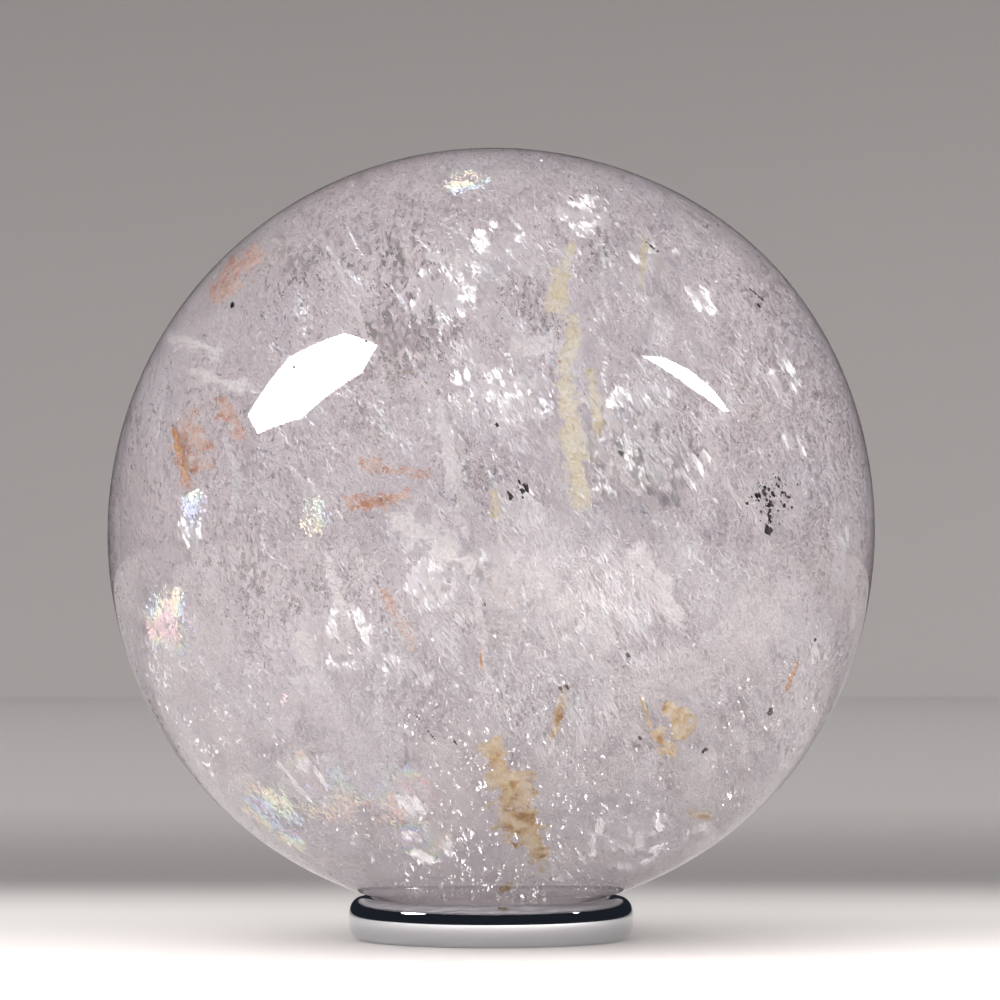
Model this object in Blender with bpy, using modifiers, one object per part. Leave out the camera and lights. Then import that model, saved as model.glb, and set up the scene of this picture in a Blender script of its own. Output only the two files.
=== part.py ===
"""A polished quartz sphere that rests in a low chromed ring stand.

Units are metres and +Z is up. The origin is on the table, at the middle of the ring's foot.
The front of the stone, as it is usually shown, faces -Y.
"""

import math

import bpy
from mathutils import Vector

MM = 0.001

# The stone: ground and polished by hand, so it swells a little past a true sphere in places.
STONE_RADIUS = 51.0 * MM
STONE_SUBDIVISIONS = 5

# Each swell: the way it faces, as degrees round from the right side and degrees up, then its height and
# how many degrees it spreads before it has sunk to about 60% of that height.
STONE_SWELLS = (
    {"round": 0, "up": 43, "height": 0.72 * MM, "spread": 20},
    {"round": 180, "up": -45, "height": 0.43 * MM, "spread": 22},
    {"round": 0, "up": -40, "height": 0.48 * MM, "spread": 18},
    {"round": 75, "up": 15, "height": 0.40 * MM, "spread": 24},
    {"round": 130, "up": -30, "height": 0.35 * MM, "spread": 20},
)

# The ring: a turned band with a soft, slightly squared section and a narrow flat ground under it.
RING_OUTER_RADIUS = 19.0 * MM
RING_INNER_RADIUS = 15.05 * MM
RING_HEIGHT = 5.6 * MM
RING_SQUARENESS = 2.4
RING_GROUND_OFF = 0.12 * MM
RING_STEPS = 72
RING_SECTION_POINTS = 24

# The stone is set down until it is this close to the ring, all round.
SEAT_GAP = 0.3 * MM
SEAT_STEP = 0.01 * MM


def clear_scene():
    """Removes whatever objects the file already holds."""
    for thing in list(bpy.data.objects):
        bpy.data.objects.remove(thing, do_unlink=True)


def make_collection(name):
    """A collection for the parts, linked to the scene."""
    collection = bpy.data.collections.new(name)
    bpy.context.scene.collection.children.link(collection)
    return collection


def make_material(name, colour, roughness, metallic=0.0, transmission=0.0, ior=1.5):
    """A Principled material with plain values."""
    material = bpy.data.materials.new(name)
    material.use_nodes = True
    shader = material.node_tree.nodes["Principled BSDF"]
    shader.inputs["Base Color"].default_value = (*colour, 1.0)
    shader.inputs["Roughness"].default_value = roughness
    shader.inputs["Metallic"].default_value = metallic
    shader.inputs["Transmission Weight"].default_value = transmission
    shader.inputs["IOR"].default_value = ior
    return material


def facing(degrees_round, degrees_up):
    """The unit direction that many degrees round from +X and above the horizon."""
    around = math.radians(degrees_round)
    up = math.radians(degrees_up)
    return Vector((math.cos(around) * math.cos(up), math.sin(around) * math.cos(up), math.sin(up)))


def stone_radius(direction):
    """How far the stone's surface is from its middle, in a unit direction."""
    radius = STONE_RADIUS
    for swell in STONE_SWELLS:
        angle = math.degrees(direction.angle(facing(swell["round"], swell["up"])))
        radius += swell["height"] * math.exp(-0.5 * (angle / swell["spread"]) ** 2)
    return radius


def ring_section():
    """The ring's closed section in the XZ plane: down the outside, over the ground foot, up the inside."""
    middle = (RING_OUTER_RADIUS + RING_INNER_RADIUS) / 2
    half_width = (RING_OUTER_RADIUS - RING_INNER_RADIUS) / 2
    half_height = (RING_HEIGHT + RING_GROUND_OFF) / 2
    centre_height = RING_HEIGHT - half_height
    section = []
    for i in range(RING_SECTION_POINTS):
        turn = math.pi / 2 - 2 * math.pi * i / RING_SECTION_POINTS
        across = math.copysign(abs(math.cos(turn)) ** (2 / RING_SQUARENESS), math.cos(turn))
        along = math.copysign(abs(math.sin(turn)) ** (2 / RING_SQUARENESS), math.sin(turn))
        height = centre_height + half_height * along
        section.append(Vector((middle + half_width * across, 0.0, max(height, 0.0))))
    return section


def seat_height():
    """The height of the stone's middle when it is set down in the ring, SEAT_GAP clear of it all round."""
    section = ring_section()
    turns = [math.radians(360 * i / RING_STEPS) for i in range(RING_STEPS)]
    ring_points = [
        Vector((point.x * math.cos(turn), point.x * math.sin(turn), point.z))
        for point in section
        for turn in turns
    ]
    height = STONE_RADIUS
    while True:
        middle = Vector((0.0, 0.0, height))
        from_middle = [point - middle for point in ring_points]
        clearances = [offset.length - stone_radius(offset.normalized()) for offset in from_middle]
        if min(clearances) >= SEAT_GAP:
            return height
        height += SEAT_STEP


def build_stone(collection):
    """The sphere: an icosphere whose points are moved out where the stone swells."""
    bpy.ops.mesh.primitive_ico_sphere_add(subdivisions=STONE_SUBDIVISIONS, radius=STONE_RADIUS)
    stone = bpy.context.object
    stone.name = "quartz_sphere"
    for vertex in stone.data.vertices:
        direction = vertex.co.normalized()
        vertex.co = direction * stone_radius(direction)
    stone.data.shade_smooth()
    stone.location = (0.0, 0.0, seat_height())
    stone.data.materials.append(
        make_material("polished quartz", (0.86, 0.82, 0.85), 0.03, transmission=1.0, ior=1.544)
    )
    move_to(stone, collection)
    return stone


def build_ring(collection):
    """The ring stand: its section, turned once about Z with a Screw modifier."""
    section = ring_section()
    mesh = bpy.data.meshes.new("ring_section")
    edges = [(i, (i + 1) % len(section)) for i in range(len(section))]
    mesh.from_pydata(section, edges, [])
    ring = bpy.data.objects.new("ring_stand", mesh)
    collection.objects.link(ring)
    turning = ring.modifiers.new("turned", "SCREW")
    turning.axis = "Z"
    turning.angle = 2 * math.pi
    turning.steps = RING_STEPS
    turning.render_steps = RING_STEPS
    turning.use_merge_vertices = True
    turning.merge_threshold = 0.01 * MM
    turning.use_smooth_shade = True
    mesh.materials.append(make_material("chromed steel", (0.72, 0.73, 0.75), 0.06, metallic=1.0))
    return ring


def move_to(thing, collection):
    """Takes an object out of the collections it is in and puts it in this one."""
    for old in list(thing.users_collection):
        old.objects.unlink(thing)
    collection.objects.link(thing)


clear_scene()
parts = make_collection("quartz_sphere_on_ring")
build_ring(parts)
build_stone(parts)
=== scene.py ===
# %% [markdown]
# # A quartz sphere on a chromed ring
#
# The real thing is a ball ground and polished from one piece of quartz, 102 mm across. The quartz is
# clear, but it cracked and healed many times as it grew, so it is full of thin milky veils, glinting
# flakes, and a little clay and iron. The ball sits in a low ring of chromed steel. This lesson loads
# the solid model as a fixed frame and then makes everything that the eye sees around and inside it.

import math

import bmesh
import bpy
import numpy as np
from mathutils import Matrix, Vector, noise


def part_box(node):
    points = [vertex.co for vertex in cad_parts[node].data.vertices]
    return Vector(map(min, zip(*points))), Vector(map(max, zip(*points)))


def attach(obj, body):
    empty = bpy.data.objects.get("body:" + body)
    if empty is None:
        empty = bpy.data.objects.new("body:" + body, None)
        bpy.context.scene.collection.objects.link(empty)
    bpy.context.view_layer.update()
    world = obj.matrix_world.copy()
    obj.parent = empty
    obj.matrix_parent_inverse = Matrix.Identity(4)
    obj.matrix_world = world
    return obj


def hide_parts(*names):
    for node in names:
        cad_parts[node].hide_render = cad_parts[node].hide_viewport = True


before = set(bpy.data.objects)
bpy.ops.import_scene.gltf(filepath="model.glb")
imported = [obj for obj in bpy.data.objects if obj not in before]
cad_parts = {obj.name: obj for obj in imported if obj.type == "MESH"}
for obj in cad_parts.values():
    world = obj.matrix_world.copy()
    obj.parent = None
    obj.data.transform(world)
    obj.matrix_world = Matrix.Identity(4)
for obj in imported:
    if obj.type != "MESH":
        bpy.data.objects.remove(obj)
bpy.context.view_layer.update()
MM = 0.001
print("frame nodes:", sorted(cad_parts))

# %% [markdown]
# ## Small helpers
#
# These serve every step: colours as shaders want them, nodes with their links, meshes from arrays of
# points and faces or from a turned profile, smooth noise, and the two calls that make a piece ride on
# the one body.

# %% Helpers
RIPPLE_WAVES = 18
MERGE_WITHIN = 0.01 * MM


def linear(hexcode):
    """An sRGB hex colour as linear RGBA."""
    values = [int(hexcode[i:i + 2], 16) / 255 for i in (1, 3, 5)]
    return (*[v / 12.92 if v <= 0.04045 else ((v + 0.055) / 1.055) ** 2.4 for v in values], 1.0)


def add(tree, kind, inputs=None, **settings):
    """Adds a node with its settings. Each input is a value, or a socket that is linked into it."""
    made = tree.nodes.new(kind)
    for name, value in settings.items():
        setattr(made, name, value)
    for name, value in (inputs or {}).items():
        if isinstance(value, bpy.types.NodeSocket):
            tree.links.new(value, made.inputs[name])
        else:
            made.inputs[name].default_value = value
    return made


def new_material(name):
    """A material with an empty Principled shader, and its tree and shader."""
    material = bpy.data.materials.new(name)
    material.use_nodes = True
    return material, material.node_tree, material.node_tree.nodes["Principled BSDF"]


def set_tones(ramp, tones):
    """Gives a colour ramp its tones, each a position and a colour."""
    while len(ramp.color_ramp.elements) < len(tones):
        ramp.color_ramp.elements.new(0.5)
    for element, (position, colour) in zip(ramp.color_ramp.elements, tones):
        element.position = position
        element.color = linear(colour)


def new_object(name, points, faces):
    """A mesh object at the origin, from points in metres and faces as lists of indices."""
    mesh = bpy.data.meshes.new(name)
    mesh.from_pydata(np.asarray(points).tolist(), [], np.asarray(faces).tolist())
    mesh.update()
    made = bpy.data.objects.new(name, mesh)
    bpy.context.scene.collection.objects.link(made)
    return made


def turned(name, profile, edges, steps):
    """An object from a profile of points and edges, turned once about Z."""
    mesh = bpy.data.meshes.new(name)
    mesh.from_pydata(profile, edges, [])
    made = bpy.data.objects.new(name, mesh)
    bpy.context.scene.collection.objects.link(made)
    turning = made.modifiers.new("turned", "SCREW")
    turning.steps = turning.render_steps = steps
    turning.use_merge_vertices = True
    turning.merge_threshold = MERGE_WITHIN
    turning.use_smooth_shade = True
    return made


def drop_points(piece, unwanted):
    """Takes the unwanted points, and their faces, off a piece."""
    edit = bmesh.new()
    edit.from_mesh(piece.data)
    bmesh.ops.delete(edit, geom=[v for v in edit.verts if unwanted(v)], context="VERTS")
    edit.to_mesh(piece.data)
    edit.free()


def settle(piece, finish):
    """Gives a piece its finish and lets it ride on the one body."""
    if finish:
        piece.data.materials.append(finish)
    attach(piece, "root")


def unit(vectors):
    """Vectors at length one."""
    return vectors / np.linalg.norm(vectors, axis=-1, keepdims=True)


def ripple(spots, size, seed):
    """Smooth noise, mostly from -1 to 1, at an array of spots: waves of one size in all directions."""
    rng = np.random.default_rng(seed)
    waves = rng.normal(0, 1 / size, (RIPPLE_WAVES, spots.shape[-1]))
    phases = rng.uniform(0, 2 * math.pi, RIPPLE_WAVES)
    return np.cos(spots @ waves.T + phases).sum(-1) / math.sqrt(2 * RIPPLE_WAVES)


# %% [markdown]
# ## Measures
#
# The stone's middle and the ring's sizes come from the frame, so the dressed pieces can't drift away
# from the solids. A ball ground by hand is never quite round, and its outline swells by up to 0.7 mm.
# The swells are named here, the same as the solid has them.

# %% Measures from the frame
STONE_RADIUS = 51.0 * MM
QUARTZ_IOR = 1.544
SWELLS = (
    {"round": 0, "up": 43, "height": 0.72 * MM, "spread": 20},
    {"round": 180, "up": -45, "height": 0.43 * MM, "spread": 22},
    {"round": 0, "up": -40, "height": 0.48 * MM, "spread": 18},
    {"round": 75, "up": 15, "height": 0.40 * MM, "spread": 24},
    {"round": 130, "up": -30, "height": 0.35 * MM, "spread": 20},
)


def swollen(directions):
    """How far the surface is from the middle of the stone, for an array of unit directions."""
    radius = np.full(len(directions), STONE_RADIUS)
    for swell in SWELLS:
        around, up = math.radians(swell["round"]), math.radians(swell["up"])
        towards = np.array((math.cos(around) * math.cos(up), math.sin(around) * math.cos(up), math.sin(up)))
        angle = np.degrees(np.arccos(np.clip(directions @ towards, -1, 1)))
        radius += swell["height"] * np.exp(-0.5 * (angle / swell["spread"]) ** 2)
    return radius


stone_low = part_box("quartz_sphere")[0]
ring_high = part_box("ring_stand")[1]
MIDDLE = np.array((0.0, 0.0, stone_low.z + swollen(np.array([(0.0, 0.0, -1.0)]))[0]))
print(f"stone middle {MIDDLE[2] / MM:.2f} mm up, ring {ring_high.x * 2 / MM:.1f} mm across")

# %% [markdown]
# ## Camera
#
# The object is seen from 750 mm away, level with the middle of the stone, through a long lens. The
# aim is a little above and to the right of the stone's middle.

# %% Camera
FRAME_PIXELS = 1000
SENSOR = 36.0
FOCAL_PIXELS = 5619.0
CAMERA_PLACE = np.array((0.0, -750 * MM, 52.6 * MM))
STONE_PIXEL = (491, 531)

scene = bpy.context.scene
pixel_size = -CAMERA_PLACE[1] / FOCAL_PIXELS
half_frame = FRAME_PIXELS / 2
aim = MIDDLE + np.array((half_frame - STONE_PIXEL[0], 0, STONE_PIXEL[1] - half_frame)) * pixel_size
camera_data = bpy.data.cameras.new("camera")
camera_data.sensor_width = SENSOR
camera_data.lens = FOCAL_PIXELS / FRAME_PIXELS * SENSOR
camera = bpy.data.objects.new("camera", camera_data)
camera.location = CAMERA_PLACE
camera.rotation_euler = Vector(aim - CAMERA_PLACE).to_track_quat("-Z", "Y").to_euler()
scene.collection.objects.link(camera)
scene.camera = camera
bpy.context.view_layer.update()
CAMERA_TURN = np.array(camera.matrix_world.to_3x3())
print(f"lens {camera_data.lens:.0f} mm, stone {2 * STONE_RADIUS / pixel_size:.0f} pixels across")

# %% [markdown]
# ## From a pixel to a place in the stone
#
# Quartz bends light, so something inside the ball isn't straight behind the pixel where it shows.
# These helpers send rays from the camera through pixels, bend them where they meet the stone, and
# follow them inwards to a chosen depth. The last one goes the other way: from a place inside, it finds
# which way to look so that the bent ray leaves towards something outside.

# %% Pixel to place
LEAST_COSINE = 0.02
LOOK_ROUNDS = 12


def rays_through(pixels):
    """Unit directions from the camera through an array of pixels of the frame."""
    offset = (np.asarray(pixels, float) - half_frame) / FOCAL_PIXELS
    rays = np.stack((offset[..., 0], -offset[..., 1], -np.ones_like(offset[..., 0])), axis=-1)
    return unit(rays @ CAMERA_TURN.T)


def meetings(start, rays, side):
    """Where rays from a start meet the stone: its near side (-1) or its far side (1)."""
    offset = start - MIDDLE
    half = (offset * rays).sum(-1, keepdims=True)
    inside = half ** 2 - (offset ** 2).sum(-1, keepdims=True) + STONE_RADIUS ** 2
    return start + rays * (side * np.sqrt(np.maximum(inside, 0)) - half)


def bent_inwards(rays, points):
    """The rays after they enter the stone at those points."""
    normals = unit(points - MIDDLE)
    cosine = np.maximum(-(normals * rays).sum(-1, keepdims=True), LEAST_COSINE)
    bent_cosine = np.sqrt(1 - (1 - cosine ** 2) / QUARTZ_IOR ** 2)
    return unit(rays / QUARTZ_IOR + normals * (cosine / QUARTZ_IOR - bent_cosine))


def inside_at(pixels, depth):
    """The places that show at an array of pixels, at those depths along the bent rays."""
    rays = rays_through(pixels)
    points = meetings(CAMERA_PLACE, rays, -1)
    return points + bent_inwards(rays, points) * np.asarray(depth)[..., None]


def inner_towards(place, outer):
    """The way to look from a place in the stone, so that the bent ray leaves in an outer direction."""
    inner = outer
    for _ in range(LOOK_ROUNDS):
        inner = -bent_inwards(-outer, meetings(place, inner, 1))
    return inner


print("middle pixel, 51 mm deep:", np.round(inside_at(STONE_PIXEL, 51 * MM) / MM, 1))

# %% [markdown]
# ## Studio
#
# The object stands on a plain pale floor that curves up into a low wall all round, like a
# studio's sweep, so no edge shows behind it. A profile turned once about Z makes it. The paper is
# graded: nearly white in front, where it throws light into the lower half of the stone, and greyer
# towards the back and far in front. These greys are painted shade, a fall of light painted into the
# paper, so that the stone stands out against it. In front it is also lit from below, as on a light
# table. The middle of that soft round spot lies outside the picture.

# %% Floor
FLOOR_RADIUS = 1.25
FLOOR_INNER = 0.25
SWEEP_RADIUS = 0.30
SWEEP_STEPS = 24
FLOOR_TURNS = 96
WALL_TOP = 0.34
# Tones along Y, from the far front to the back. The greys at both ends are painted shade.
PAPER_TONES_AND_SHADE = (
    (-1.25, "#767473"), (-0.80, "#a5a2a0"), (-0.45, "#f5f2f0"), (-0.08, "#f3f0ee"), (0.04, "#c2c0be"),
    (0.14, "#6f6d6c"), (0.40, "#8a8887"),
)
LIT_FROM_BELOW = (0.10, -0.26, 0.0)
LIT_RADIUS = 0.30
LIT_STRENGTH = 1.9

profile = [(0.0, 0.0, 0.0), (FLOOR_INNER, 0.0, 0.0), (FLOOR_RADIUS, 0.0, 0.0)]
for i in range(1, SWEEP_STEPS + 1):
    turn = math.pi / 2 * i / SWEEP_STEPS
    profile.append((FLOOR_RADIUS + SWEEP_RADIUS * math.sin(turn), 0.0, SWEEP_RADIUS * (1 - math.cos(turn))))
profile.append((FLOOR_RADIUS + SWEEP_RADIUS, 0.0, WALL_TOP))
floor = turned("floor", profile, [(i, i + 1) for i in range(len(profile) - 1)], FLOOR_TURNS)

# Matt paper gives the eye a calm ground that takes soft shade and mirrors nothing. Its grey towards the
# back and far front is painted shade.
paper, tree, shader = new_material("matt paper, painted shade at the edges")
place = add(tree, "ShaderNodeTexCoord").outputs["Object"]
back = add(tree, "ShaderNodeSeparateXYZ", {0: place}).outputs["Y"]
nearest, farthest = PAPER_TONES_AND_SHADE[0][0], PAPER_TONES_AND_SHADE[-1][0]
grade = add(tree, "ShaderNodeMapRange", {0: back, 1: nearest, 2: farthest})
tones = add(tree, "ShaderNodeValToRGB", {"Fac": grade.outputs[0]})
tones.color_ramp.interpolation = "EASE"
set_tones(tones, [((at - nearest) / (farthest - nearest), colour) for at, colour in PAPER_TONES_AND_SHADE])
tree.links.new(tones.outputs[0], shader.inputs["Base Color"])
shader.inputs["Roughness"].default_value = 0.9
gap = add(tree, "ShaderNodeVectorMath", {0: place, 1: LIT_FROM_BELOW}, operation="DISTANCE")
lit = add(
    tree, "ShaderNodeMapRange", {0: gap.outputs["Value"], 1: 0.0, 2: LIT_RADIUS, 3: LIT_STRENGTH, 4: 0.0},
    interpolation_type="SMOOTHSTEP",
)
shader.inputs["Emission Color"].default_value = linear("#fff8f4")
tree.links.new(lit.outputs[0], shader.inputs["Emission Strength"])
paper.cycles.emission_sampling = "NONE"
floor.data.materials.append(paper)
print(f"floor {2 * (FLOOR_RADIUS + SWEEP_RADIUS):.1f} m across, {len(PAPER_TONES_AND_SHADE)} tones of paper")

# %% [markdown]
# ## Soft light
#
# Veils inside a ball of quartz are lit by whatever reaches them through its curved surface, so the
# light is one wide sky: brightest half way up, like a ring of soft boxes, with a soft fill from the
# front and three broad glows. The ball shows what is behind it upside down, so its lower half sees
# the sky behind it and its upper half the floor. Two panels only make the bright reflections on the
# polish. Round them stands a dark tent, as photographers use for chrome: the polish and the ring
# mirror it, so the ring gets its black band and the stone no grey sheen. Light passes through it.

# %% Sky
GLOW_LEFT = unit(np.array((-0.74, -0.27, 0.62)))
GLOW_RIGHT = unit(np.array((0.66, 0.50, 0.55)))
GLOW_BEHIND = unit(np.array((-0.32, 0.66, 0.68)))
SKY = (
    {"towards": (0.0, 0.0, 1.0), "from": 0.08, "to": 0.36, "least": 0.28, "most": 1.37},
    {"towards": (0.0, 0.0, 1.0), "from": 0.55, "to": 0.95, "least": 0.0, "most": -0.85},
    {"towards": (0.0, -0.92, 0.39), "from": 0.10, "to": 0.90, "least": 0.0, "most": 0.70},
    {"towards": GLOW_BEHIND, "from": 0.70, "to": 1.00, "least": 0.0, "most": 2.2},
    {"towards": GLOW_LEFT, "from": 0.80, "to": 1.00, "least": 0.0, "most": 1.2},
    {"towards": GLOW_RIGHT, "from": 0.84, "to": 1.00, "least": 0.0, "most": 0.4},
)

world = bpy.data.worlds.new("studio")
scene.world = world
world.use_nodes = True
world.cycles.sampling_method = "NONE"
tree = world.node_tree
tree.nodes.clear()
where = add(tree, "ShaderNodeTexCoord").outputs["Generated"]
light = None
for share in SKY:
    facing = add(tree, "ShaderNodeVectorMath", {0: where, 1: share["towards"]}, operation="DOT_PRODUCT")
    spread = add(
        tree, "ShaderNodeMapRange",
        {0: facing.outputs["Value"], 1: share["from"], 2: share["to"], 3: share["least"], 4: share["most"]},
        interpolation_type="SMOOTHSTEP",
    ).outputs[0]
    if light:
        spread = add(tree, "ShaderNodeMath", {0: light, 1: spread}, operation="ADD").outputs[0]
    light = spread
backdrop = add(tree, "ShaderNodeBackground", {"Color": linear("#fefaf9"), "Strength": light})
add(tree, "ShaderNodeOutputWorld", {"Surface": backdrop.outputs[0]})
print("shares of the sky:", len(SKY))

# %% [markdown]
# The panels and the tent glow only in what mirrors them. Each panel stands where the polish sends the
# camera's rays, so that its reflection fills the outline of one highlight.

# %% Panels
PANEL_DISTANCE = 0.9
PANEL_STRENGTH = 24.0
LEFT_PANEL = ((258, 434), (248, 415), (290, 357), (345, 333), (378, 345), (362, 373), (302, 418))
RIGHT_PANEL = (
    (640, 356), (662, 358), (690, 372), (713, 392), (729, 413), (722, 412), (690, 389), (662, 369),
)


def glow_in_polish(piece, strength, colour):
    """Makes a staged piece glow evenly, but only in what mirrors it."""
    material = bpy.data.materials.new(piece.name)
    material.use_nodes = True
    material.node_tree.nodes.clear()
    glow = add(material.node_tree, "ShaderNodeEmission", {"Color": linear(colour), "Strength": strength})
    add(material.node_tree, "ShaderNodeOutputMaterial", {"Surface": glow.outputs[0]})
    piece.data.materials.append(material)
    material.cycles.emission_sampling = "NONE"
    piece.visible_camera = False
    piece.visible_diffuse = False
    piece.visible_transmission = False
    piece.visible_shadow = False


def add_panel(name, outline):
    """A glowing panel whose reflection in the stone fills an outline of pixels."""
    rays = rays_through(outline)
    points = meetings(CAMERA_PLACE, rays, -1)
    normals = unit(points - MIDDLE)
    mirrored = rays - 2 * normals * (rays * normals).sum(-1, keepdims=True)
    panel = new_object(name, points + mirrored * PANEL_DISTANCE, [range(len(outline))])
    glow_in_polish(panel, PANEL_STRENGTH, "#ffffff")
    print(name, "with", len(outline), "corners")


add_panel("left_panel", LEFT_PANEL)
add_panel("right_panel", RIGHT_PANEL)

# %% Dark tent
TENT_RADIUS = 1.2
TENT_SIDES, TENT_RINGS = 48, 24
TENT_GLOW = 1.0

bpy.ops.mesh.primitive_uv_sphere_add(segments=TENT_SIDES, ring_count=TENT_RINGS, radius=TENT_RADIUS)
tent = bpy.context.object
tent.name = tent.data.name = "dark_tent"
drop_points(tent, lambda point: point.co.z < -MM)
glow_in_polish(tent, TENT_GLOW, "#23272e")
print("tent:", len(tent.data.polygons), "faces")

# %% [markdown]
# ## The polished stone
#
# An icosphere has even triangles and no poles. Its points are moved out to the swollen surface.

# %% Stone surface
STONE_DETAIL = 7

bpy.ops.mesh.primitive_ico_sphere_add(subdivisions=STONE_DETAIL, radius=1.0)
stone = bpy.context.object
stone.name = stone.data.name = "polished_stone"
directions = unit(np.array([v.co for v in stone.data.vertices]))
places = directions * swollen(directions)[:, None] + MIDDLE
stone.data.vertices.foreach_set("co", places.ravel())
stone.data.shade_smooth()
print("stone surface:", len(stone.data.polygons), "triangles")

# %% [markdown]
# Polished quartz gives the eye a clear body that bends what is behind it, with a thin mirror on its
# skin. A faint pink tint deepens where the way through the stone is long.

# %% Quartz
TINT_DENSITY = 4.0

quartz, tree, shader = new_material("polished quartz")
shader.inputs["Base Color"].default_value = (1.0, 1.0, 1.0, 1.0)
shader.inputs["Roughness"].default_value = 0.0
shader.inputs["IOR"].default_value = QUARTZ_IOR
shader.inputs["Transmission Weight"].default_value = 1.0
tint = add(tree, "ShaderNodeVolumeAbsorption", {"Color": linear("#f8eef2"), "Density": TINT_DENSITY})
tree.links.new(tint.outputs[0], tree.nodes["Material Output"].inputs["Volume"])
settle(stone, quartz)
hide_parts("quartz_sphere")
print("quartz bends light by", QUARTZ_IOR)

# %% [markdown]
# ## The ring stand
#
# The ring is turned from steel, polished and chromed. The solid's 24-sided section would show facets
# in a mirror finish, so the same curve is turned again with many more points.

# %% Ring
RING_OUTER = ring_high.x
RING_INNER = 15.05 * MM
RING_HEIGHT = ring_high.z
RING_SQUARENESS = 2.4
RING_GROUND_OFF = 0.12 * MM
SECTION_POINTS = 96
TURN_STEPS = 288

half_width = (RING_OUTER - RING_INNER) / 2
half_height = (RING_HEIGHT + RING_GROUND_OFF) / 2
section = []
for i in range(SECTION_POINTS):
    turn = math.pi / 2 - 2 * math.pi * i / SECTION_POINTS
    across = math.copysign(abs(math.cos(turn)) ** (2 / RING_SQUARENESS), math.cos(turn))
    along = math.copysign(abs(math.sin(turn)) ** (2 / RING_SQUARENESS), math.sin(turn))
    out = (RING_OUTER + RING_INNER) / 2 + half_width * across
    section.append((out, 0.0, max(RING_HEIGHT - half_height + half_height * along, 0.0)))
closed = [(i, (i + 1) % SECTION_POINTS) for i in range(SECTION_POINTS)]
ring = turned("chromed_ring", section, closed, TURN_STEPS)

# Chrome gives the eye a sharp, slightly grey mirror of the paper, the stone and the tent.
chrome, tree, shader = new_material("chromed steel")
shader.inputs["Base Color"].default_value = linear("#d2d4d8")
shader.inputs["Metallic"].default_value = 1.0
shader.inputs["Roughness"].default_value = 0.05
settle(ring, chrome)
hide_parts("ring_stand")
print("ring section of", SECTION_POINTS, "points, turned in", TURN_STEPS, "steps")

# %% [markdown]
# ## Where the milk is
#
# The healed cracks aren't even. The lower right of the stone is nearly white with them, and here and
# there a clearer window lets the eye in. A window is a tube of clearer quartz along the bent ray
# through a pixel, with an uneven wall. Each sheet below carries this as a value from 0, clear, to 1,
# milky.

# %% Windows and thick places
WINDOWS = (
    {"pixel": (400, 340), "radius": 4.4, "clear": 1.00},
    {"pixel": (405, 252), "radius": 3.6, "clear": 1.00},
    {"pixel": (300, 262), "radius": 3.6, "clear": 0.90},
    {"pixel": (540, 328), "radius": 2.4, "clear": 0.95},
    {"pixel": (524, 296), "radius": 3.4, "clear": 0.90},
    {"pixel": (334, 590), "radius": 3.0, "clear": 0.95},
    {"pixel": (252, 575), "radius": 2.2, "clear": 0.90},
    {"pixel": (690, 450), "radius": 2.6, "clear": 0.85},
    {"pixel": (470, 478), "radius": 1.8, "clear": 0.80},
    {"pixel": (360, 424), "radius": 2.4, "clear": 0.85},
    {"pixel": (452, 330), "radius": 2.4, "clear": 0.90},
    {"pixel": (600, 250), "radius": 2.4, "clear": 0.85},
)
MILK_TOWARDS = unit(np.array((0.95, 0.0, 0.30)))
MILK_LEAST = 0.60
MILK_SLOPE = 0.9
WALL_UNEVEN = 0.35
WALL_WAVE = 4 * MM
WALL_SEED = 3


def milk_at(points):
    """How milky the stone is at each of an array of points, from 0 to 1."""
    side = (points - MIDDLE) @ MILK_TOWARDS / STONE_RADIUS
    milk = MILK_LEAST + (1 - MILK_LEAST) * np.clip(0.5 + MILK_SLOPE * side, 0, 1)
    uneven = 1 + WALL_UNEVEN * ripple(points, WALL_WAVE, WALL_SEED)
    for window in WINDOWS:
        start = inside_at(window["pixel"], 0.0)
        line = unit(inside_at(window["pixel"], 1 * MM) - start)
        reach = points - start
        aside = np.linalg.norm(reach - (reach @ line)[:, None] * line, axis=1)
        milk *= 1 - window["clear"] * np.exp(-((aside * uneven / (window["radius"] * MM)) ** 4))
    return milk


print("clear windows:", len(WINDOWS))

# %% [markdown]
# ## Veils
#
# A healed crack is a curved sheet of flakes and bubbles. Each sheet here is a grid, bent and rumpled
# by smooth noise and cut off just under the polish. The sheets only carry the flakes, and are removed
# once the flakes are real. Most lie steeply, from the upper left to the lower right, as one strain
# cracked them all. The rest face every way.

# %% Veil sheets
VEIL_GRID = 56
VEIL_REACH = 0.988
BROAD_WAVE, FINE_WAVE, FINE_SHARE = 9 * MM, 2 * MM, 0.25
SHEET_STRENGTH = (0.35, 1.65)
SHEET_PLACES = 0.62
STEEP = (0.50, 0.0, -0.86)
UPRIGHT = (0.10, 0.0, -1.0)


def grid_faces(rows, columns, kept):
    """The faces of a grid of points whose four corners are all kept."""
    corner = np.arange(rows * columns).reshape(rows, columns)
    corners = np.stack((corner[:-1, :-1], corner[:-1, 1:], corner[1:, 1:], corner[1:, :-1]), axis=-1)
    corners = corners.reshape(-1, 4)
    return corners[kept[corners].all(axis=1)]


def bent_sheet(middle, normal, lean, half_size, rumple, seed):
    """Grid points of a bent sheet about a middle."""
    normal, lean = unit(np.array(normal)), np.array(lean)
    along = unit(lean - normal * (lean @ normal))
    across = np.cross(along, normal)
    steps = np.linspace(-half_size, half_size, VEIL_GRID)
    up, aside = np.meshgrid(steps, steps, indexing="ij")
    spots = np.column_stack((aside.ravel(), up.ravel()))
    rise = ripple(spots, BROAD_WAVE, seed) + FINE_SHARE * ripple(spots, FINE_WAVE, seed + 1)
    return middle + spots[:, :1] * across + spots[:, 1:] * along + (rise * rumple)[:, None] * normal


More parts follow.
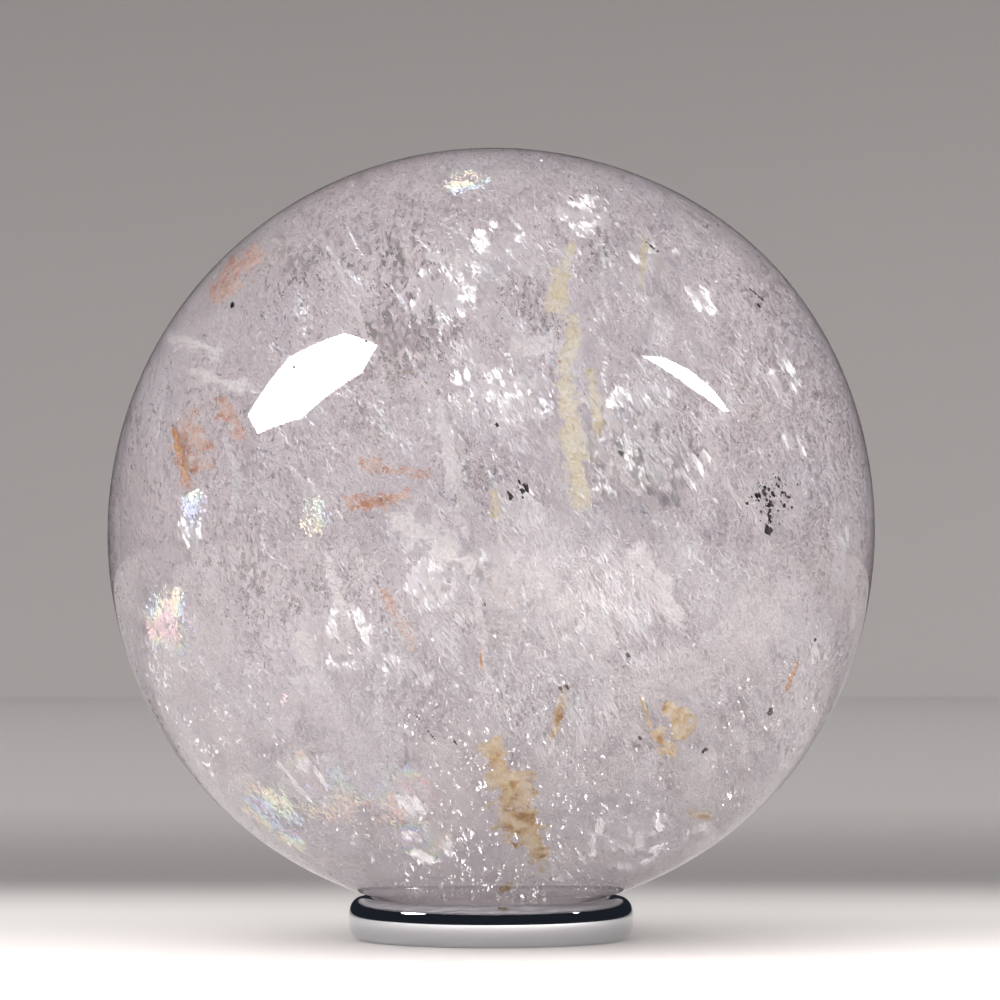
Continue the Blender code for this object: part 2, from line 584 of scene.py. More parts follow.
def make_carrier(name, grids):
    """One object from several grids of points, each with its faces and how milky its points are."""
    points, faces, milky = [], [], []
    for grid, grid_corners, values in grids:
        faces.append(grid_corners + sum(len(p) for p in points))
        points.append(grid)
        milky.append(values)
    made = new_object(name, np.concatenate(points), np.concatenate(faces))
    made.data.attributes.new("milk", "FLOAT", "POINT").data.foreach_set("value", np.concatenate(milky))
    print(name, "from", len(grids), "grids,", len(made.data.polygons), "faces")
    return made


def make_sheets(name, sheets, fades=False, milky=1.0):
    """A carrier from bent sheets. Each can fade towards its edge, and follow the milk by a share."""
    grids = []
    for sheet in sheets:
        grid = bent_sheet(**sheet)
        inside = np.linalg.norm(grid - MIDDLE, axis=1) < STONE_RADIUS * VEIL_REACH
        away = np.linalg.norm(grid - sheet["middle"], axis=1) / sheet["half_size"]
        strength = np.random.default_rng(sheet["seed"]).uniform(*SHEET_STRENGTH)
        values = np.clip(1 - away ** 2, 0, 1) if fades else np.ones(len(grid))
        if milky:
            values *= (1 - milky + milky * milk_at(grid)) * strength
        grids.append((grid, grid_faces(VEIL_GRID, VEIL_GRID, inside), values))
    return make_carrier(name, grids)


def random_sheets(count, facing, spread, lean, half_size, rumple, seed):
    """Sheets about random places, facing about one way, with that much spread in how they face."""
    rng = np.random.default_rng(seed)
    return [{
        "middle": MIDDLE + rng.uniform(-SHEET_PLACES, SHEET_PLACES, 3) * STONE_RADIUS,
        "normal": np.array(facing) + rng.normal(0, spread, 3), "lean": lean,
        "half_size": rng.uniform(*half_size) * MM, "rumple": rumple * MM, "seed": seed + i,
    } for i in range(count)]


steep_sheets = make_sheets("steep_sheets", random_sheets(
    count=26, facing=(0.86, -0.3, 0.50), spread=0.30, lean=STEEP, half_size=(20, 46), rumple=5, seed=100,
))
upright_sheets = make_sheets("upright_sheets", random_sheets(
    count=12, facing=(-0.75, -0.6, 0.10), spread=0.3, lean=UPRIGHT, half_size=(16, 40), rumple=4, seed=200,
))
crossing_sheets = make_sheets("crossing_sheets", random_sheets(
    count=20, facing=(0, 0, 0), spread=1.0, lean=STEEP, half_size=(18, 46), rumple=6, seed=300,
))

# %% [markdown]
# Two more kinds face the camera. Deep ones lie in the far half of the stone and give it a smooth pale
# ground. Front ones are small, lie just under the polish and carry the sharp, scratchy wisps.

# %% Deep and front sheets
DEEP_PLACES = (2, 12, 22, 31)
DEEP_HALF_SIZE = 50 * MM
DEEP_MILKY = 0.68
FRONT_COUNT = 22
FRONT_PIXELS = 250
FRONT_DEPTHS = (6, 26)
FRONT_SIZES = (9, 20)
FRONT_TURN = 0.35

deep_sheets = make_sheets("deep_sheets", [{
    "middle": MIDDLE + np.array((0.0, back, 0.0)) * MM, "normal": (0.2 * (-1) ** i, -1.0, 0.1),
    "lean": UPRIGHT, "half_size": DEEP_HALF_SIZE, "rumple": 5 * MM, "seed": 350 + i,
} for i, back in enumerate(DEEP_PLACES)], milky=DEEP_MILKY)
rng = np.random.default_rng(21)
front_sheets = make_sheets("front_sheets", [{
    "middle": inside_at(
        np.array(STONE_PIXEL) + rng.uniform(-FRONT_PIXELS, FRONT_PIXELS, 2), rng.uniform(*FRONT_DEPTHS) * MM,
    ),
    "normal": (rng.normal(0, FRONT_TURN), -1.0, rng.normal(0, FRONT_TURN)), "lean": STEEP,
    "half_size": rng.uniform(*FRONT_SIZES) * MM, "rumple": 2.5 * MM, "seed": 380 + i,
} for i in range(FRONT_COUNT)], fades=True)

# %% [markdown]
# ## Flakes
#
# Geometry Nodes scatter three-sided flakes over a carrier. They lie thickest where the carrier is
# milky and where two scales of smooth noise agree: broad clouds, and thin streaks that run along the
# crack. Each flake is turned along the streaks and tilted a little at random.

# %% Flake scatter
CLOUD_FROM, CLOUD_TO = 0.48, 0.60
STREAK_FROM, STREAK_TO = 0.48, 0.66
STREAK_SQUEEZE = 0.82
LEAST_SHARES, MOST_SHARES = (0.25, 0.25, 1.0), (0.75, 0.85, 1.0)


def flake_tree():
    """The scatter. Its inputs are sizes in metres, a count per square metre, a tilt in radians, the
    least share that clouds and streaks leave, a direction for the flakes, and a seed."""
    tree = bpy.data.node_groups.new("flakes on a carrier", "GeometryNodeTree")
    face = tree.interface
    face.new_socket("Carrier", in_out="INPUT", socket_type="NodeSocketGeometry")
    for label, kind in (
        ("Per square metre", "NodeSocketFloat"), ("Length", "NodeSocketFloat"), ("Width", "NodeSocketFloat"),
        ("Cloud size", "NodeSocketFloat"), ("Streak size", "NodeSocketFloat"), ("Tilt", "NodeSocketFloat"),
        ("Least", "NodeSocketFloat"), ("Along", "NodeSocketVector"), ("Seed", "NodeSocketInt"),
        ("Finish", "NodeSocketMaterial"),
    ):
        face.new_socket(label, in_out="INPUT", socket_type=kind)
    face.new_socket("Flakes", in_out="OUTPUT", socket_type="NodeSocketGeometry")
    given = add(tree, "NodeGroupInput").outputs
    place = add(tree, "GeometryNodeInputPosition").outputs[0]

    far = add(tree, "ShaderNodeVectorMath", {0: place, 1: given["Along"]}, operation="DOT_PRODUCT")
    back = add(tree, "ShaderNodeMath", {0: far.outputs["Value"], 1: -STREAK_SQUEEZE}, operation="MULTIPLY")
    pull = add(tree, "ShaderNodeVectorMath", {0: given["Along"], "Scale": back.outputs[0]}, operation="SCALE")
    drawn = add(tree, "ShaderNodeVectorMath", {0: place, 1: pull.outputs[0]}, operation="ADD")
    shares = []
    for vector, size, low, high in (
        (place, "Cloud size", CLOUD_FROM, CLOUD_TO),
        (drawn.outputs[0], "Streak size", STREAK_FROM, STREAK_TO),
    ):
        scale = add(tree, "ShaderNodeMath", {0: 1.0, 1: given[size]}, operation="DIVIDE")
        cloud = add(
            tree, "ShaderNodeTexNoise",
            {"Vector": vector, "Scale": scale.outputs[0], "Detail": 4.0, "Roughness": 0.62},
        )
        shares.append(add(
            tree, "ShaderNodeMapRange", {0: cloud.outputs[0], 1: low, 2: high, 3: given["Least"]},
            interpolation_type="SMOOTHSTEP",
        ).outputs[0])
    milk = add(tree, "GeometryNodeInputNamedAttribute", {"Name": "milk"}, data_type="FLOAT").outputs[0]
    count = given["Per square metre"]
    for share in (*shares, milk):
        count = add(tree, "ShaderNodeMath", {0: count, 1: share}, operation="MULTIPLY").outputs[0]
    spots = add(
        tree, "GeometryNodeDistributePointsOnFaces",
        {"Mesh": given["Carrier"], "Density": count, "Seed": given["Seed"]},
    )

    lined = add(
        tree, "FunctionNodeAlignRotationToVector",
        {"Rotation": spots.outputs["Rotation"], "Vector": given["Along"]}, axis="Y", pivot_axis="Z",
    )
    other = add(tree, "ShaderNodeMath", {0: given["Tilt"], 1: -1.0}, operation="MULTIPLY").outputs[0]
    low = add(tree, "ShaderNodeCombineXYZ", {0: other, 1: other, 2: other})
    high = add(tree, "ShaderNodeCombineXYZ", {0: given["Tilt"], 1: given["Tilt"], 2: given["Tilt"]})
    tilts = add(
        tree, "FunctionNodeRandomValue", {0: low.outputs[0], 1: high.outputs[0], "Seed": given["Seed"]},
        data_type="FLOAT_VECTOR",
    )
    tilted = add(
        tree, "FunctionNodeRotateRotation", {"Rotation": lined.outputs[0], "Rotate By": tilts.outputs[0]},
        rotation_space="LOCAL",
    )
    narrow = add(tree, "ShaderNodeCombineXYZ", {0: given["Width"], 1: given["Length"], 2: 1.0})
    vary = add(
        tree, "FunctionNodeRandomValue", {0: LEAST_SHARES, 1: MOST_SHARES, "Seed": given["Seed"]},
        data_type="FLOAT_VECTOR",
    )
    sizes = add(
        tree, "ShaderNodeVectorMath", {0: narrow.outputs[0], 1: vary.outputs[0]}, operation="MULTIPLY",
    )
    flake = add(tree, "GeometryNodeMeshCircle", {"Vertices": 3, "Radius": 1.0}, fill_type="NGON")
    copies = add(
        tree, "GeometryNodeInstanceOnPoints",
        {"Points": spots.outputs["Points"], "Instance": flake.outputs[0], "Rotation": tilted.outputs[0],
         "Scale": sizes.outputs[0]},
    )
    real = add(tree, "GeometryNodeRealizeInstances", {0: copies.outputs[0]})
    finished = add(
        tree, "GeometryNodeSetMaterial", {"Geometry": real.outputs[0], "Material": given["Finish"]},
    )
    add(tree, "NodeGroupOutput", {0: finished.outputs[0]})
    return tree


SCATTER = flake_tree()
flake_counts = []


def scatter(name, carrier, finish, count, size, cloud, streak, tilt, seed, along=STEEP, least=0.0):
    """Scatters flakes on a carrier and keeps them as one plain mesh. Sizes are in millimetres."""
    modifier = carrier.modifiers.new("flakes", "NODES")
    modifier.node_group = SCATTER
    given = {
        "Per square metre": count, "Length": size[0] * MM, "Width": size[1] * MM, "Cloud size": cloud * MM,
        "Streak size": streak * MM, "Tilt": tilt, "Least": least, "Along": along, "Seed": seed,
        "Finish": finish,
    }
    for item in SCATTER.interface.items_tree:
        if item.name in given:
            modifier[item.identifier] = given[item.name]
    mesh = bpy.data.meshes.new_from_object(carrier.evaluated_get(bpy.context.evaluated_depsgraph_get()))
    carrier.modifiers.remove(modifier)
    made = bpy.data.objects.new(name, mesh)
    scene.collection.objects.link(made)
    settle(made, None)
    flake_counts.append(len(mesh.polygons))
    print(f"{name}: {len(mesh.polygons)} flakes")


# %% [markdown]
# ## Finishes of what is in the stone
#
# Milky flakes are matt and nearly white. Bright flakes are films of air in open cracks, which mirror
# the light. A film thinner than a hair splits it into pale colours. Minerals run from one colour to a
# deeper one in spots.

# %% Finishes
def toned(name, tones, size, roughness, metallic=0.0, detail=3.0):
    """A finish that runs through tones, each a position and a colour, in spots of about that size."""
    material, tree, shader = new_material(name)
    place = add(tree, "ShaderNodeTexCoord").outputs["Object"]
    spots = add(tree, "ShaderNodeTexNoise", {"Vector": place, "Scale": 1 / (size * MM), "Detail": detail})
    ramp = add(tree, "ShaderNodeValToRGB", {"Fac": spots.outputs[0]})
    set_tones(ramp, tones)
    tree.links.new(ramp.outputs[0], shader.inputs["Base Color"])
    shader.inputs["Roughness"].default_value = roughness
    shader.inputs["Metallic"].default_value = metallic
    return material


# Milky flakes scatter light softly, which gives the white of the veils.
milky = toned("healed fracture, milky flakes", ((0.36, "#faf3f5"), (0.64, "#faf9fe")), 11, 0.45)
# Plain plates give the larger healed cracks a flat pale face.
pale = toned("healed fracture, plain plate", ((0.40, "#f8f3f4"), (0.60, "#ffffff")), 5, 0.5)
# Air films mirror the light as white glints.
bright = toned("open fracture, air film", ((0.4, "#ffffff"), (0.6, "#f6f8ff")), 3, 0.28, 1.0)
# Thinner films split light into pale rose, yellow, green and blue.
film = toned("open fracture, thin film", (
    (0.30, "#fbdbe0"), (0.40, "#fdf0d8"), (0.50, "#e2f4e6"), (0.60, "#d6e3fd"), (0.70, "#efe0f8"),
), 4.5, 0.3, 1.0, 0.0)
# Clay gives tan that deepens to brown in spots.
clay = toned("clay in a healed crack", ((0.38, "#f6e6cd"), (0.54, "#e8cfa6"), (0.68, "#c4955a")), 1.8, 0.85)
# Kaolin gives a soft matt cream.
cream = toned("kaolin in a healed crack", ((0.42, "#faf5ea"), (0.62, "#f4ead2")), 3, 0.8)
# A bloom of iron oxide tints a crack pink to salmon.
iron = toned("iron oxide bloom", ((0.42, "#f3dcd2"), (0.60, "#e0b09c")), 1.6, 0.8)
# Dense iron oxide gives small orange-brown spots.
rust = toned("iron oxide, dense", ((0.42, "#ecc4a4"), (0.60, "#d69c6c")), 0.8, 0.8)
# Manganese oxide gives nearly black specks and dashes.
dark = toned("manganese oxide", ((0.42, "#575052"), (0.60, "#2c2729")), 0.8, 0.6)
print("finishes:", len(bpy.data.materials))

# %% [markdown]
# Now each kind of veil gets its flakes. After the finish come the flakes per square metre, their
# length and width, the sizes of clouds and streaks, the tilt, and the seed.

# %% Scatter on the veils
scatter("veil_haze_deep", deep_sheets, milky, 1.2e7, (0.85, 0.48), 22, 4, 0.6, 10, along=UPRIGHT, least=0.6)
scatter("veil_haze_steep", steep_sheets, milky, 2.0e7, (0.42, 0.20), 13, 1.6, 0.7, 1)
scatter("veil_haze_upright", upright_sheets, milky, 3.6e7, (0.38, 0.18), 12, 1.6, 0.7, 2, along=UPRIGHT)
scatter("veil_haze_crossing", crossing_sheets, milky, 2.3e7, (0.38, 0.23), 15, 2.4, 0.9, 3)
scatter("veil_streaks", steep_sheets, milky, 1.6e7, (1.2, 0.16), 8, 0.9, 0.25, 4)
scatter("veil_sparkle", steep_sheets, bright, 1.0e6, (0.5, 0.22), 7, 2.0, 0.7, 5)
scatter("veil_sparkle_crossing", crossing_sheets, bright, 8e5, (0.5, 0.3), 6, 3, 0.8, 6)
scatter("front_grain", front_sheets, milky, 1.1e8, (0.24, 0.14), 5, 1.2, 0.6, 11)
scatter("front_slivers", front_sheets, bright, 6e7, (1.0, 0.10), 6, 0.8, 0.3, 12)
for carrier in (steep_sheets, upright_sheets, crossing_sheets, deep_sheets, front_sheets):
    bpy.data.objects.remove(carrier, do_unlink=True)

# %% [markdown]
# ## Bright clusters and pale colours
#
# Where a crack stayed open, a film of air mirrors the light, and flakes crowd round it. These small
# sheets are turned half way between the eye and the light, both as seen from inside through the bent
# rays, so that they catch it.

# %% Clusters and films
GLINT_RUMPLE = 0.07
LOW_FROM_ROW = 730
RIGHT_FROM_COLUMN = 680
CLUSTERS = (
    ((632, 436), 10, 6.4), ((620, 455), 11, 4.6), ((655, 475), 13, 4.8), ((700, 470), 9, 2.4),
    ((642, 430), 8, 6.4), ((612, 462), 9, 5.0), ((650, 460), 7, 4.6), ((440, 292), 12, 4.6),
    ((478, 388), 12, 3.6), ((522, 402), 10, 4.4), ((628, 838), 8, 5.4), ((344, 640), 12, 4.2),
    ((392, 676), 11, 2.4), ((848, 560), 12, 3.6), ((785, 378), 10, 2.6), ((795, 445), 9, 2.2),
    ((655, 252), 10, 3.4), ((432, 585), 9, 3.4), ((700, 838), 12, 3.0), ((820, 650), 10, 2.2),
    ((560, 640), 13, 4.4), ((480, 560), 12, 4.0), ((190, 530), 9, 2.4), ((480, 270), 14, 4.0),
    ((590, 215), 12, 4.0), ((500, 240), 12, 3.4), ((700, 300), 12, 2.2), ((300, 780), 9, 3.4),
    ((402, 798), 9, 3.4), ((424, 846), 7, 3.6), ((560, 866), 6, 3.4), ((636, 852), 6, 4.2),
)
FILMS = (
    ((168, 622), 12, 5.0), ((266, 808), 14, 4.6), ((194, 505), 9, 2.4), ((315, 516), 12, 2.6),
    ((467, 182), 10, 3.0), ((318, 790), 17, 5.4), ((396, 800), 16, 4.8), ((424, 842), 12, 3.6),
    ((286, 838), 9, 3.0), ((246, 792), 8, 1.0), ((283, 698), 8, 0.8),
)
TO_CAMERA = unit(CAMERA_PLACE - MIDDLE)
FRONT_RIGHT = unit(np.array((0.45, -0.70, 0.55)))
FRONT_LOW = unit(np.array((0.36, -0.92, -0.10)))


def glinting_sheets(spots, seed):
    """Small sheets that mirror one of the glows to the camera. Each is a pixel, a depth and a radius."""
    sheets = []
    for i, (pixel, depth, radius) in enumerate(spots):
        place = inside_at(pixel, depth * MM)
        beside = FRONT_RIGHT if pixel[0] > RIGHT_FROM_COLUMN else GLOW_LEFT
        glow = FRONT_LOW if pixel[1] > LOW_FROM_ROW else beside
        facing = unit(inner_towards(place, glow) + inner_towards(place, TO_CAMERA))
        sheets.append({
            "middle": place, "normal": facing, "lean": STEEP, "half_size": radius * MM,
            "rumple": GLINT_RUMPLE * radius * MM, "seed": seed + i,
        })
    return sheets


cluster_sheets = make_sheets("cluster_sheets", glinting_sheets(CLUSTERS, 400), fades=True, milky=0)
scatter("bright_clusters", cluster_sheets, bright, 9e8, (1.1, 0.15), 2.8, 1.0, 0.16, 7)
scatter("white_clusters", cluster_sheets, milky, 9e8, (1.0, 0.17), 3.0, 0.9, 0.35, 8)
film_sheets = make_sheets("film_sheets", glinting_sheets(FILMS, 500), fades=True, milky=0)
scatter("thin_films", film_sheets, film, 1.6e8, (0.5, 0.30), 3.0, 1.5, 0.22, 9, least=0.2)
for carrier in (cluster_sheets, film_sheets):
    bpy.data.objects.remove(carrier, do_unlink=True)

# %% [markdown]
# ## Marks: wisps, plates and stains
#
# Everything with a shape of its own is a mark: a chain of pixels, each with a half width, at some
# depth. Its grid follows the bent rays, so it shows where the chain says. Noise eats its outline and
# roughens its face. A mark carries flakes, or is kept as a crumbly plate, or both.

# %% Mark grids
SOFT_EDGE = 0.45
FLAKE_EDGE = 0.02
PLATE_EDGE = 0.75
MARK_MARGIN = 1.6
MARK_RELIEF = 0.35
FAR_OFF = 9.0


def reach_of(spots, chain):
    """How far spots are from a tapered chain of pixels, as a share of its half width there."""
    best = np.full(len(spots), FAR_OFF)
    for (*start, start_half), (*end, end_half) in zip(chain, chain[1:] or chain):
        run = np.subtract(end, start)
        share = np.clip((spots - start) @ run / max(run @ run, 1e-9), 0, 1)
        gap = np.linalg.norm(spots - start - share[:, None] * run, axis=1)
        best = np.minimum(best, gap / (start_half + share * (end_half - start_half)))
    return best


def mark_grid(depth, chain, seed, edge, ragged):
    """A grid that shows about a chain of pixels, its faces, and how much of the mark each point has."""
    spine = np.array(chain, float)
    width = spine[:, 2].mean()
    step = min(2.0, max(0.5, width / 7))
    low = (spine[:, :2] - MARK_MARGIN * spine[:, 2:]).min(axis=0)
    high = (spine[:, :2] + MARK_MARGIN * spine[:, 2:]).max(axis=0)
    columns, rows = (high - low) // step + 2
    across, down = np.meshgrid(low[0] + step * np.arange(columns), low[1] + step * np.arange(rows))
    spots = np.column_stack((across.ravel(), down.ravel()))
    eaten = ripple(spots, 0.5 * width, seed) + 0.7 * ripple(spots, 0.16 * width, seed + 1)
    cover = np.clip((1 + ragged * eaten - reach_of(spots, chain)) / SOFT_EDGE, 0, 1)
    rough = ripple(spots, 8.0, seed + 2) + 0.6 * ripple(spots, 1.6, seed + 3)
    grid = inside_at(spots, (depth + MARK_RELIEF * rough) * MM)
    return grid, grid_faces(int(rows), int(columns), cover > edge), cover


def make_marks(name, marks, seed, edge=FLAKE_EDGE, ragged=0.55):
    """A carrier from marks. Each mark is a depth in millimetres and its chain of pixels."""
    return make_carrier(name, [
        mark_grid(depth, chain, seed + 10 * i, edge, ragged) for i, (depth, *chain) in enumerate(marks)
    ])


def make_plates(name, marks, finish, seed, ragged):
    """Crumbly plates from marks, kept as one piece."""
    plates = make_marks(name, marks, seed, PLATE_EDGE, ragged)
    drop_points(plates, lambda point: not point.link_faces)
    settle(plates, finish)

# %% [markdown]
# Each mark below is a depth in millimetres and its chain: x, y and half width in pixels.

# %% Marks
PLATES = (
    (9, (398, 520, 15), (436, 544, 19), (462, 562, 10)),
    (7, (440, 402, 6), (452, 468, 11), (464, 526, 8)), (6, (516, 346, 8), (540, 347, 12), (558, 345, 9)),
    (12, (480, 575, 10), (506, 602, 12)), (14, (560, 600, 18), (602, 640, 14)),
    (5, (170, 338, 7), (214, 350, 9)), (5, (192, 372, 7), (240, 386, 8)),
    (6, (328, 556, 4), (340, 604, 8), (350, 640, 5)), (15, (640, 560, 16), (676, 612, 12)),
    (6, (430, 256, 5), (458, 262, 7), (486, 255, 4)), (10, (300, 640, 12), (320, 690, 14)),
    (86, (560, 420, 16), (600, 500, 14)), (84, (380, 620, 18), (420, 660, 12)),
)
# Dense patches of milky flakes, partly real milk and partly painted light: at the lower left and along the
# bottom they stand in for light that the ball focuses there.
MILK_AND_FOCUSED_LIGHT_PATCHES = (
    (7, (300, 760, 24), (332, 800, 34), (340, 836, 22)), (7, (372, 792, 20), (425, 800, 24)),
    (6, (392, 846, 16), (430, 848, 22)), (8, (160, 620, 18), (180, 690, 20)),
    (7, (225, 735, 18), (250, 780, 18)), (8, (640, 860, 22), (690, 820, 22)),
    (9, (640, 700, 40), (760, 640, 46)), (9, (560, 780, 36), (640, 780, 40)),
    (8, (440, 760, 26), (470, 820, 26)), (10, (520, 560, 34), (590, 520, 30)),
    (10, (205, 650, 40), (262, 712, 46)), (9, (306, 706, 36), (366, 752, 36)),
    (5, (560, 846, 34), (640, 836, 36)), (5, (498, 858, 26), (566, 872, 20)),
    (6, (700, 770, 40), (760, 720, 36)), (5, (390, 872, 16), (470, 880, 14)),
)
WISPS = (
    (9, (404, 226, 2.6), (409, 258, 3.4), (413, 290, 2)), (9, (409, 258, 2), (421, 244, 1.5)),
    (11, (355, 385, 1.6), (398, 442, 2.2), (440, 500, 1.5)),
    (12, (430, 395, 2), (442, 460, 3), (463, 528, 2)), (8, (220, 771, 1.4), (265, 771, 1.4)),
    (8, (370, 848, 1.8), (420, 858, 1.4)), (9, (376, 690, 3), (396, 681, 5), (407, 662, 2.4)),
    (10, (226, 440, 2), (237, 478, 4), (231, 520, 3)), (8, (858, 530, 3), (855, 565, 5), (848, 600, 3)),
    (9, (686, 846, 3), (704, 832, 2)), (11, (470, 560, 3), (480, 620, 4), (486, 655, 2)),
    (7, (640, 420, 4), (655, 452, 5), (664, 486, 3)), (8, (606, 430, 4), (618, 462, 7), (640, 492, 4)),
    (10, (183, 512, 2), (200, 545, 2)), (12, (524, 520, 2), (536, 590, 3), (548, 640, 2)),
    (10, (704, 430, 2), (722, 476, 4), (738, 500, 2)), (10, (500, 232, 2), (540, 262, 3), (560, 292, 2)),
    (9, (330, 250, 2), (352, 300, 3), (372, 352, 2)), (12, (262, 640, 2), (300, 700, 3), (330, 745, 2)),
    (9, (612, 860, 3), (640, 822, 5), (662, 800, 2)),
)
CLAY = (
    (3, (492, 748, 12), (500, 772, 17), (513, 798, 22), (527, 826, 21), (538, 848, 16)),
    (4, (667, 708, 10), (682, 724, 13)), (4, (657, 736, 10), (672, 749, 9)),
    (4, (650, 726, 2.4), (640, 697, 1.8)), (11, (566, 688, 4), (560, 712, 6), (553, 737, 4)),
    (5, (690, 813, 5), (710, 818, 4)), (4, (502, 890, 4), (511, 884, 3)),
    (88, (420, 380, 12), (438, 430, 16), (452, 470, 9)), (86, (600, 690, 10), (628, 712, 13)),
)
CREAM = (
    (6, (573, 246, 7), (566, 264, 8)), (6, (562, 274, 9), (556, 308, 10)),
    (6, (573, 320, 8), (574, 345, 9), (563, 368, 7)), (8, (566, 385, 9), (574, 440, 12), (580, 502, 13)),
    (7, (645, 242, 4), (642, 284, 4)), (7, (495, 492, 4), (496, 514, 6)),
    (84, (520, 640, 7), (516, 740, 9)), (10, (590, 372, 5), (600, 430, 7)),
)
IRON = (
    (9, (176, 432, 8), (186, 480, 9)), (10, (192, 418, 12), (200, 462, 13)),
    (10, (222, 404, 8), (236, 428, 10)), (8, (348, 500, 7), (376, 505, 9), (404, 494, 7)),
    (11, (362, 462, 9), (388, 470, 8)), (10, (404, 470, 5), (428, 476, 5)),
    (10, (214, 296, 8), (232, 274, 14), (258, 252, 9)), (12, (384, 592, 5), (400, 620, 7), (414, 648, 4)),
    (85, (640, 360, 14), (676, 402, 18)), (86, (350, 500, 10), (372, 560, 16)),
)
RUST = (
    (8, (174, 430, 3), (180, 452, 5), (186, 480, 3)), (8, (352, 508, 3), (372, 503, 4.5), (398, 496, 3)),
    (5, (797, 664, 2.4), (790, 680, 4), (786, 692, 2)), (4, (480, 650, 1.5), (482, 668, 2.4)),
    (6, (560, 362, 2.6)), (5, (497, 768, 4)), (5, (525, 815, 5)), (86, (660, 385, 6), (672, 410, 4)),
)
DASHES = (
    (6, (750, 290, 1.8), (765, 303, 1.6)), (7, (417, 717, 1.4), (435, 740, 1.2)),
    (6, (646, 242, 1.5), (658, 252, 1.4)), (6, (764, 490, 2.0), (770, 512, 3.0), (768, 532, 2.0)),
    (6, (780, 492, 2.4), (790, 498, 1.8)),
)
LOOSE_COUNT = 150
LOOSE_PIXEL = (485, 460)
LOOSE_REACH = 250
LOOSE_TURN = (60, 16)


def loose_wisps(seed):
    """Bent wisps at random places, each nearly along the steep veils."""
    rng = np.random.default_rng(seed)
    wisps = []
    for _ in range(LOOSE_COUNT):
        around, away = rng.uniform(0, 2 * math.pi), LOOSE_REACH * math.sqrt(rng.uniform())
        middle = np.array(LOOSE_PIXEL) + away * np.array((math.cos(around), math.sin(around)))
        turn = math.radians(rng.normal(*LOOSE_TURN))
        half = rng.uniform(9, 34) * np.array((math.cos(turn), math.sin(turn)))
        bow = rng.uniform(-0.3, 0.3) * np.array((-half[1], half[0]))
        width = rng.uniform(1.0, 3.2)
        wisps.append((
            rng.uniform(5, 20),
            (*(middle - half), 0.4 * width), (*(middle + bow), width), (*(middle + half), 0.3 * width),
        ))
    return wisps


make_plates("pale_plates", PLATES, pale, 600, ragged=0.35)
make_plates("clay_plates", CLAY, clay, 700, ragged=0.3)
make_plates("cream_plates", CREAM, cream, 750, ragged=0.22)
make_plates("rust_plates", RUST, rust, 800, ragged=0.4)
make_plates("dark_dashes", DASHES, dark, 850, ragged=0.6)
for name, marks, finish, count, size, seed in (
    ("pale_edges", PLATES, milky, 1.4e8, (0.4, 0.2), 600),
    ("wisp_flakes", WISPS, milky, 4e8, (0.6, 0.16), 650),
    ("loose_wisps", loose_wisps(33), bright, 3.5e8, (0.6, 0.11), 680),
    ("milk_and_painted_light_patches", MILK_AND_FOCUSED_LIGHT_PATCHES, milky, 8e7, (0.26, 0.16), 670),
    ("clay_flakes", CLAY, clay, 2.0e8, (0.34, 0.2), 700),
    ("cream_flakes", CREAM, cream, 1.6e8, (0.4, 0.2), 750),
    ("iron_flakes", IRON, iron, 1.3e8, (0.36, 0.2), 900),
    ("rust_flakes", RUST, rust, 1.6e8, (0.24, 0.14), 800),
):
    carrier = make_marks(name + "_carrier", marks, seed)
    scatter(name, carrier, finish, count, size, cloud=2.5, streak=1.0, tilt=0.5, seed=seed, least=0.5)
    bpy.data.objects.remove(carrier, do_unlink=True)
print("flakes in all:", sum(flake_counts))
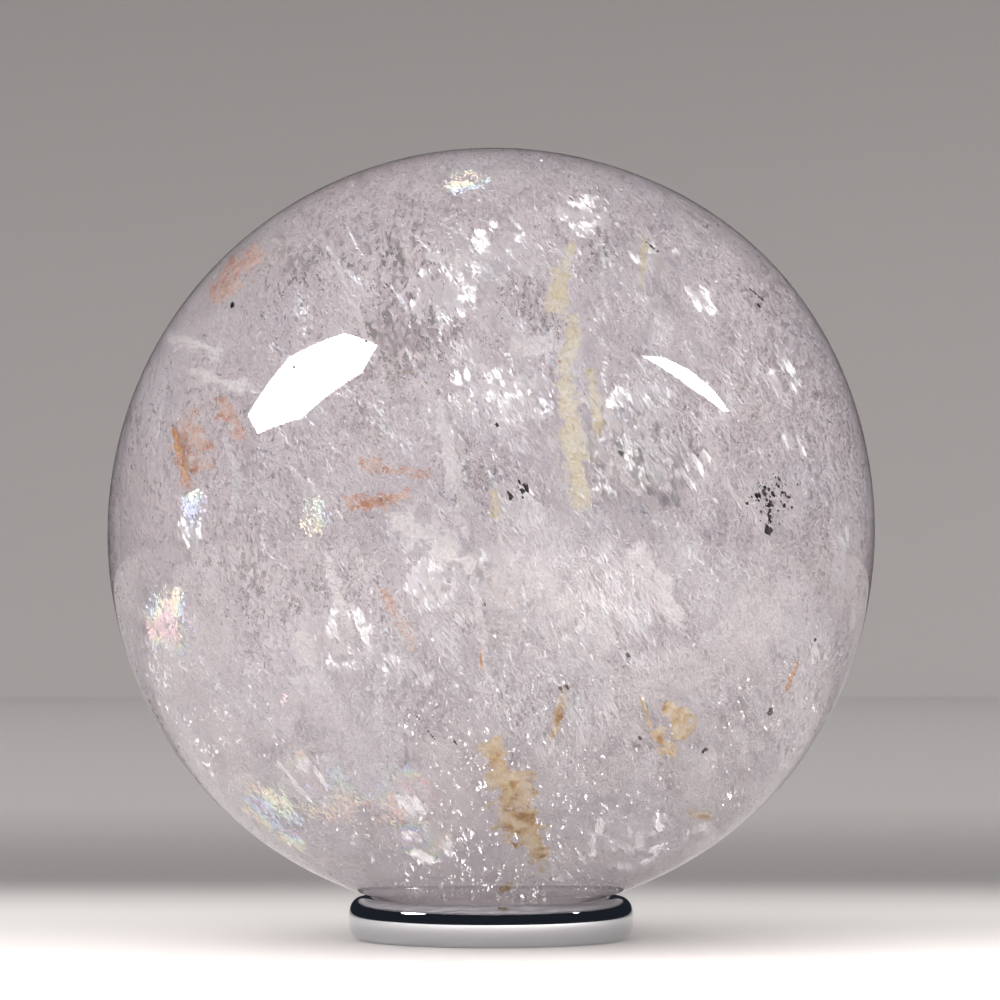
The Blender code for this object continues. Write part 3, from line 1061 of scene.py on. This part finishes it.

# %% [markdown]
# ## Dark specks
#
# Grains of manganese oxide are blacker and rounder than the stains. Most sit in one group at the
# right. Each grain is a small lump, and all are joined in one mesh. Each single one below is x and y
# in pixels, then a radius and a depth in millimetres. The last five are dark lumps at no depth, half
# out of the polish; three of them darken small spots in the left highlight.

# %% Specks
LUMP_ROUGH, LUMP_WAVES, LUMP_DRAWN = 1.1, 1.5, 0.4
GRAIN_LEAST, GRAIN_RANGE = 0.06, 0.22
SPECK_GROUPS = (
    {"pixel": (773, 500), "spread": (13, 13), "count": 70, "depth": 6},
    {"pixel": (522, 492), "spread": (5, 7), "count": 14, "depth": 8},
    {"pixel": (560, 470), "spread": (30, 24), "count": 30, "depth": 88},
)
SPECKS = (
    (705, 750, 0.30, 4), (205, 247, 0.28, 4), (232, 305, 0.28, 4), (770, 712, 0.45, 4),
    (768, 530, 0.45, 5), (640, 738, 0.2, 4), (758, 306, 0.3, 4), (560, 688, 0.22, 4), (628, 655, 0.2, 4),
    (815, 640, 0.22, 4), (703, 752, 0.2, 4), (567, 687, 0.2, 4), (484, 604, 0.2, 4), (497, 425, 0.18, 4),
    (455, 742, 0.18, 4), (294, 367, 0.14, 0), (366, 341, 0.12, 0), (318, 392, 0.08, 0),
    (690, 300, 0.08, 0), (560, 160, 0.1, 0),
)


def add_speck(edit, pixel, depth, radius, seed):
    """Adds one lump to a mesh, where it shows at a pixel. Sizes are in millimetres."""
    lump = bmesh.ops.create_icosphere(edit, subdivisions=2, radius=radius * MM)["verts"]
    centre = Vector(inside_at(pixel, depth * MM))
    for vertex in lump:
        shifted = vertex.co / (radius * MM) * LUMP_WAVES + Vector((seed, seed * 0.7, 0))
        rough = 1 + LUMP_ROUGH * noise.noise(shifted)
        drawn = Vector(STEEP) * vertex.co.dot(Vector(STEEP)) * (seed % 3) * LUMP_DRAWN
        vertex.co = centre + (vertex.co + drawn) * rough


rng = np.random.default_rng(5)
edit = bmesh.new()
speck_count = 0
for group in SPECK_GROUPS:
    for pixel in np.array(group["pixel"]) + rng.normal(0, 1, (group["count"], 2)) * group["spread"]:
        radius = GRAIN_LEAST + GRAIN_RANGE * rng.uniform() ** 3
        add_speck(edit, pixel, group["depth"] + rng.uniform(-1, 2), radius, speck_count)
        speck_count += 1
for x, y, radius, depth in SPECKS:
    add_speck(edit, (x, y), depth, radius, speck_count)
    speck_count += 1
speck_mesh = bpy.data.meshes.new("dark_specks")
edit.to_mesh(speck_mesh)
edit.free()
specks = bpy.data.objects.new("dark_specks", speck_mesh)
scene.collection.objects.link(specks)
settle(specks, dark)
print("specks:", speck_count)

# %% [markdown]
# ## Finish
#
# The render follows light through up to seven bounces, four of them diffuse, and uses the standard
# view of colour.

# %% Finish
scene.cycles.max_bounces = 7
scene.cycles.diffuse_bounces = 4
scene.view_settings.view_transform = "Standard"
